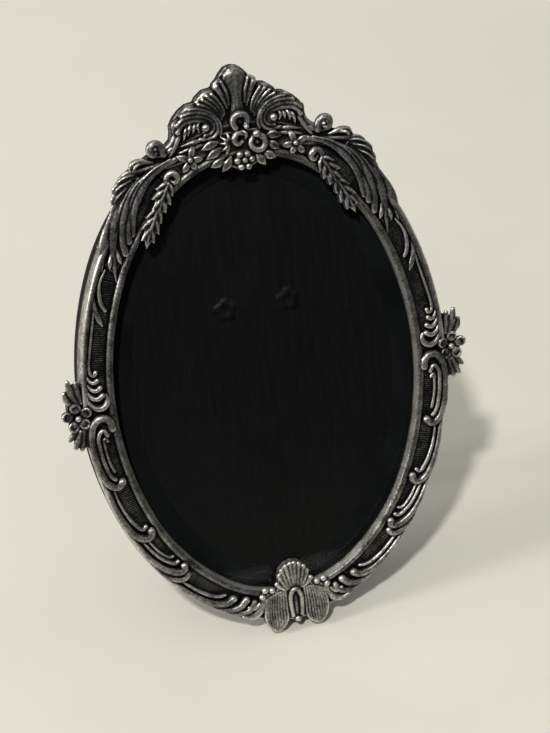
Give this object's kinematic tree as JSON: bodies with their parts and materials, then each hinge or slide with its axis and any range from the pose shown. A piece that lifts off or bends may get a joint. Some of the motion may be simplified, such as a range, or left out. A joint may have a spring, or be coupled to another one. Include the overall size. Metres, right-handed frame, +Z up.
{
  "type": "picture frame",
  "caption": "Oval tabletop picture frame of antiqued cast metal with a shell crest, side rosettes and scrolls, glass, and a velvet back that stands on a folding easel leg.",
  "frame": {"origin": "on the table, under the middle of the standing frame's bounding box", "axes": "+X to the frame's right seen from the front, +Y to the back, +Z up"},
  "size_m": [0.1118, 0.0578, 0.1521],
  "materials": {
    "cast_metal": "antiqued pewter, dark recesses and worn bright edges",
    "glass": "clear polished",
    "velvet": "black velvet",
    "lining_paper": "black matt paper",
    "card": "grey-brown board",
    "hinge_metal": "plain stamped steel",
    "rivet_metal": "plain steel"
  },
  "bodies": {
    "front": {"frame_casting": "cast_metal", "glass_pane": "glass", "back_core": "card", "back_cover": "velvet", "back_lining": "lining_paper", "hinge_fixed_leaf": "hinge_metal", "hinge_eyelets": "rivet_metal", "hinge_pin": "hinge_metal", "turn_button_rivets": "rivet_metal"},
    "leg": {"hinge_moving_leaf": "hinge_metal", "leg_core": "card", "leg_cover": "velvet", "leg_rivets": "rivet_metal"},
    "turn_button_upper_right": {"turn_button_upper_right": "hinge_metal"},
    "turn_button_upper_left": {"turn_button_upper_left": "hinge_metal"},
    "turn_button_lower_left": {"turn_button_lower_left": "hinge_metal"},
    "turn_button_lower_right": {"turn_button_lower_right": "hinge_metal"}
  },
  "joints": [
    {"name": "leg_fold", "type": "hinge", "parent": "front", "child": "leg", "pos_m": [0, 0.00556, 0.08221], "axis": [1, 0, 0], "range_deg": [-32, 0]},
    {"name": "turn_button_upper_right_turn", "type": "hinge", "parent": "front", "child": "turn_button_upper_right", "pos_m": [0.03136, 0.01497, 0.11761], "axis": [0, 0.9563, -0.2924], "continuous": true},
    {"name": "turn_button_upper_left_turn", "type": "hinge", "parent": "front", "child": "turn_button_upper_left", "pos_m": [-0.03136, 0.01497, 0.11761], "axis": [0, 0.9563, -0.2924], "continuous": true},
    {"name": "turn_button_lower_left_turn", "type": "hinge", "parent": "front", "child": "turn_button_lower_left", "pos_m": [-0.03136, -0.01479, 0.02025], "axis": [0, 0.9563, -0.2924], "continuous": true},
    {"name": "turn_button_lower_right_turn", "type": "hinge", "parent": "front", "child": "turn_button_lower_right", "pos_m": [0.03136, -0.01479, 0.02025], "axis": [0, 0.9563, -0.2924], "continuous": true}
  ]
}
